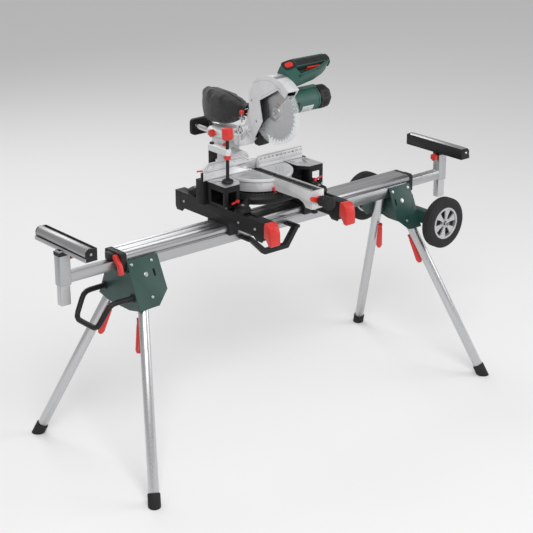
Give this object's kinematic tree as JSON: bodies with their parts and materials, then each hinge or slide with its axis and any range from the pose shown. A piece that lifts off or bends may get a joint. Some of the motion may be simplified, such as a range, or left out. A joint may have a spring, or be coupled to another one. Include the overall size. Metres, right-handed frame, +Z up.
{
  "type": "mitre saw on stand",
  "caption": "Sliding mitre saw clamped on the crossbars of a folding leg stand with a carrying handle, transport wheels and extending roller supports.",
  "frame": {"origin": "on the floor under the middle of the beam, at the bottom centre of the bounding box", "axes": "+X along the beam towards the wheels, +Y away from the operator, +Z up"},
  "size_m": [1.922, 0.8022, 1.4056],
  "materials": {
    "satin_aluminium": "satin extruded",
    "grey_casting": "silver-painted casting",
    "bright_steel": "ground and polished",
    "roller_steel": "rolled tube",
    "green_sheet": "powder coated",
    "green_plastic": "fine grained",
    "black_sheet": "powder coated",
    "black_casting": "black painted casting",
    "black_plastic": "fine grained",
    "rubber": "moulded",
    "red_plastic": "moulded",
    "clear_plastic": "clear polycarbonate",
    "bag_cloth": "woven nylon",
    "wheel_set": "black tyre on a silver spoked hub",
    "roller_stand": "black coated cradle on a bare aluminium post"
  },
  "bodies": {
    "stand": {"main_beam": "satin_aluminium", "beam_end_cap_left": "black_plastic", "beam_end_cap_right": "black_plastic", "leg_housing_left": "green_sheet", "leg_housing_right": "green_sheet", "carry_handle": "black_sheet", "centre_handle": "black_plastic", "axle_bracket": "green_sheet"},
    "leg_rear_left": {"leg_rear_left": "satin_aluminium", "foot_rear_left": "rubber"},
    "leg_front_left": {"leg_front_left": "satin_aluminium", "foot_front_left": "rubber"},
    "leg_rear_right": {"leg_rear_right": "satin_aluminium", "foot_rear_right": "rubber"},
    "leg_front_right": {"leg_front_right": "satin_aluminium", "foot_front_right": "rubber"},
    "leg_lock_rear_left": {"leg_lock_lever_rear_left": "red_plastic"},
    "leg_lock_front_left": {"leg_lock_lever_front_left": "red_plastic"},
    "leg_lock_rear_right": {"leg_lock_lever_rear_right": "red_plastic"},
    "leg_lock_front_right": {"leg_lock_lever_front_right": "red_plastic"},
    "wheel_rear": {"wheel_rear": "wheel_set"},
    "wheel_front": {"wheel_front": "wheel_set"},
    "extension_left": {"extension_arm_left": "satin_aluminium"},
    "extension_right": {"extension_arm_right": "satin_aluminium"},
    "extension_lever_left": {"extension_lever_left": "red_plastic"},
    "extension_lever_right": {"extension_lever_right": "red_plastic"},
    "support_left": {"roller_support_left": "roller_stand"},
    "support_right": {"roller_support_right": "roller_stand"},
    "roller_left": {"roller_left": "roller_steel"},
    "roller_right": {"roller_right": "roller_steel"},
    "height_knob_left": {"height_knob_left": "red_plastic"},
    "height_knob_right": {"height_knob_right": "red_plastic"},
    "crossbar_left": {"crossbar_left": "black_sheet"},
    "crossbar_right": {"crossbar_right": "black_sheet"},
    "crossbar_lever_left": {"crossbar_lever_left": "red_plastic"},
    "crossbar_lever_right": {"crossbar_lever_right": "red_plastic"},
    "saw": {"saw_base": "black_casting", "fence": "grey_casting"},
    "turntable": {"turntable": "grey_casting", "kerf_insert": "black_plastic"},
    "mitre_knob": {"mitre_knob": "black_plastic"},
    "mitre_latch": {"mitre_latch": "red_plastic"},
    "table_extension_left": {"table_extension_left": "black_casting"},
    "table_extension_right": {"table_extension_right": "black_casting"},
    "upper_fence": {"upper_fence": "grey_casting"},
    "clamp_arm": {"clamp_arm": "grey_casting"},
    "clamp_spindle": {"clamp_spindle": "black_plastic"},
    "tilt_bracket": {"tilt_bracket": "grey_casting"},
    "bevel_lever": {"bevel_lever": "black_plastic"},
    "slide_lock_knob": {"slide_lock_knob": "red_plastic"},
    "slide": {"slide_rails": "bright_steel", "carriage": "grey_casting"},
    "head": {"upper_guard": "grey_casting", "motor_housing": "green_plastic", "handle": "green_plastic", "dust_bag": "bag_cloth"},
    "blade": {"blade": "bright_steel"},
    "lower_guard": {"lower_guard": "clear_plastic"},
    "trigger": {"trigger": "red_plastic"},
    "lock_button": {"lock_button": "red_plastic"}
  },
  "joints": [
    {"name": "leg_rear_left_fold", "type": "hinge", "parent": "stand", "child": "leg_rear_left", "pos_m": [-0.64684, 0.05471, 0.722], "axis": [0, -0.9136, -0.4066], "range_deg": [0, 104]},
    {"name": "leg_front_left_fold", "type": "hinge", "parent": "stand", "child": "leg_front_left", "pos_m": [-0.64684, -0.05471, 0.722], "axis": [0, -0.9136, 0.4066], "range_deg": [0, 104]},
    {"name": "leg_rear_right_fold", "type": "hinge", "parent": "stand", "child": "leg_rear_right", "pos_m": [0.64684, 0.05471, 0.722], "axis": [0, 0.9136, 0.4066], "range_deg": [0, 98]},
    {"name": "leg_front_right_fold", "type": "hinge", "parent": "stand", "child": "leg_front_right", "pos_m": [0.64684, -0.05471, 0.722], "axis": [0, 0.9136, -0.4066], "range_deg": [0, 98]},
    {"name": "leg_rear_left_lock", "type": "hinge", "parent": "leg_rear_left", "child": "leg_lock_rear_left", "pos_m": [-0.68699, 0.0902, 0.56601], "axis": [0.9688, 0.1008, -0.2264], "range_deg": [0, 5], "stiffness_Nm_per_rad": 0.6, "springref_deg": -5.73},
    {"name": "leg_front_left_lock", "type": "hinge", "parent": "leg_front_left", "child": "leg_lock_front_left", "pos_m": [-0.68699, -0.0902, 0.56601], "axis": [-0.9688, 0.1008, 0.2264], "range_deg": [0, 5], "stiffness_Nm_per_rad": 0.6, "springref_deg": -5.73},
    {"name": "leg_rear_right_lock", "type": "hinge", "parent": "leg_rear_right", "child": "leg_lock_rear_right", "pos_m": [0.68699, 0.0902, 0.56601], "axis": [0.9688, -0.1008, 0.2264], "range_deg": [0, 5], "stiffness_Nm_per_rad": 0.6, "springref_deg": -5.73},
    {"name": "leg_front_right_lock", "type": "hinge", "parent": "leg_front_right", "child": "leg_lock_front_right", "pos_m": [0.68699, -0.0902, 0.56601], "axis": [-0.9688, -0.1008, -0.2264], "range_deg": [0, 5], "stiffness_Nm_per_rad": 0.6, "springref_deg": -5.73},
    {"name": "wheel_rear_spin", "type": "hinge", "parent": "stand", "child": "wheel_rear", "pos_m": [0.725, 0.228, 0.66], "axis": [0, 1, 0], "continuous": true},
    {"name": "wheel_front_spin", "type": "hinge", "parent": "stand", "child": "wheel_front", "pos_m": [0.725, -0.228, 0.66], "axis": [0, 1, 0], "continuous": true},
    {"name": "extension_left_slide", "type": "slide", "parent": "stand", "child": "extension_left", "axis": [-1, 0, 0], "range_m": [-0.165, 0.4]},
    {"name": "extension_right_slide", "type": "slide", "parent": "stand", "child": "extension_right", "axis": [1, 0, 0], "range_m": [-0.165, 0.4]},
    {"name": "extension_lever_left_swing", "type": "hinge", "parent": "stand", "child": "extension_lever_left", "pos_m": [-0.735, -0.024, 0.803], "axis": [-1, 0, 0], "range_deg": [0, 90]},
    {"name": "extension_lever_right_swing", "type": "hinge", "parent": "stand", "child": "extension_lever_right", "pos_m": [0.735, 0.024, 0.803], "axis": [1, 0, 0], "range_deg": [0, 90]},
    {"name": "support_left_height", "type": "slide", "parent": "extension_left", "child": "support_left", "axis": [0, 0, 1], "range_m": [0, 0.11]},
    {"name": "support_right_height", "type": "slide", "parent": "extension_right", "child": "support_right", "axis": [0, 0, 1], "range_m": [0, 0.11]},
    {"name": "roller_left_spin", "type": "hinge", "parent": "support_left", "child": "roller_left", "pos_m": [-0.924, 0, 0.897], "axis": [0, 1, 0], "continuous": true},
    {"name": "roller_right_spin", "type": "hinge", "parent": "support_right", "child": "roller_right", "pos_m": [0.924, 0, 0.897], "axis": [0, 1, 0], "continuous": true},
    {"name": "height_knob_left_turn", "type": "hinge", "parent": "extension_left", "child": "height_knob_left", "pos_m": [-0.905, 0, 0.848], "axis": [1, 0, 0], "continuous": true},
    {"name": "height_knob_right_turn", "type": "hinge", "parent": "extension_right", "child": "height_knob_right", "pos_m": [0.905, 0, 0.848], "axis": [1, 0, 0], "continuous": true},
    {"name": "crossbar_left_slide", "type": "slide", "parent": "stand", "child": "crossbar_left", "axis": [1, 0, 0], "range_m": [-0.2, 0.2]},
    {"name": "crossbar_right_slide", "type": "slide", "parent": "stand", "child": "crossbar_right", "axis": [1, 0, 0], "range_m": [-0.2, 0.2]},
    {"name": "crossbar_lever_left_swing", "type": "hinge", "parent": "crossbar_left", "child": "crossbar_lever_left", "pos_m": [-0.229, -0.2725, 0.876], "axis": [-1, 0, 0], "range_deg": [0, 60]},
    {"name": "crossbar_lever_right_swing", "type": "hinge", "parent": "crossbar_right", "child": "crossbar_lever_right", "pos_m": [0.141, -0.2725, 0.876], "axis": [-1, 0, 0], "range_deg": [0, 60]},
    {"name": "saw_lift", "type": "slide", "parent": "crossbar_left", "child": "saw", "axis": [0, 0, 1], "range_m": [0, 0.15]},
    {"name": "mitre_turn", "type": "hinge", "parent": "saw", "child": "turntable", "pos_m": [-0.044, 0.023, 0.941], "axis": [0, 0, -1], "range_deg": [-47, 47]},
    {"name": "mitre_knob_turn", "type": "hinge", "parent": "turntable", "child": "mitre_knob", "pos_m": [-0.044, -0.357, 0.945], "axis": [0, -1, 0], "continuous": true},
    {"name": "mitre_latch_press", "type": "hinge", "parent": "turntable", "child": "mitre_latch", "pos_m": [-0.044, -0.33, 0.945], "axis": [0, 1, 0], "range_deg": [0, 12], "stiffness_Nm_per_rad": 0.5, "springref_deg": -17.19},
    {"name": "table_extension_left_slide", "type": "slide", "parent": "saw", "child": "table_extension_left", "axis": [-1, 0, 0], "range_m": [0, 0.1]},
    {"name": "table_extension_right_slide", "type": "slide", "parent": "saw", "child": "table_extension_right", "axis": [1, 0, 0], "range_m": [0, 0.1]},
    {"name": "upper_fence_slide", "type": "slide", "parent": "saw", "child": "upper_fence", "axis": [-1, 0, 0], "range_m": [0, 0.06]},
    {"name": "clamp_swing", "type": "hinge", "parent": "saw", "child": "clamp_arm", "pos_m": [-0.236, 0.051, 1.041], "axis": [0, 0, -1], "range_deg": [0, 50]},
    {"name": "clamp_screw", "type": "slide", "parent": "clamp_arm", "child": "clamp_spindle", "axis": [0, 0, 1], "range_m": [0, 0.05]},
    {"name": "bevel_tilt", "type": "hinge", "parent": "turntable", "child": "tilt_bracket", "pos_m": [-0.044, 0.168, 0.993], "axis": [0, -1, 0], "range_deg": [0, 33]},
    {"name": "bevel_lever_turn", "type": "hinge", "parent": "tilt_bracket", "child": "bevel_lever", "pos_m": [-0.112, 0.193, 1.043], "axis": [-1, 0, 0], "range_deg": [0, 60]},
    {"name": "slide_lock_turn", "type": "hinge", "parent": "tilt_bracket", "child": "slide_lock_knob", "pos_m": [-0.112, 0.203, 1.094], "axis": [-1, 0, 0], "continuous": true},
    {"name": "rail_slide", "type": "slide", "parent": "tilt_bracket", "child": "slide", "axis": [0, 1, 0], "range_m": [-0.085, 0.045]},
    {"name": "head_chop", "type": "hinge", "parent": "slide", "child": "head", "pos_m": [-0.044, 0.061, 1.133], "axis": [-1, 0, 0], "range_deg": [-48, 0], "stiffness_Nm_per_rad": 12, "springref_deg": 68.75},
    {"name": "blade_spin", "type": "hinge", "parent": "head", "child": "blade", "pos_m": [-0.044, -0.087, 1.221], "axis": [1, 0, 0], "continuous": true},
    {"name": "lower_guard_turn", "type": "hinge", "parent": "head", "child": "lower_guard", "pos_m": [-0.044, -0.087, 1.221], "axis": [-1, 0, 0], "range_deg": [0, 140]},
    {"name": "trigger_press", "type": "slide", "parent": "head", "child": "trigger", "axis": [0, 0.866, 0.5], "range_m": [0, 0.004], "stiffness_N_per_m": 400, "springref_m": -0.004},
    {"name": "lock_button_press", "type": "slide", "parent": "head", "child": "lock_button", "axis": [0.1908, 0.4908, -0.8501], "range_m": [0, 0.003], "stiffness_N_per_m": 300, "springref_m": -0.004}
  ],
  "couplings": [
    {"joint": "lower_guard_turn", "follows": "head_chop", "ratio": -2.85},
    {"joint": "crossbar_right_slide", "follows": "crossbar_left_slide", "ratio": 1}
  ]
}
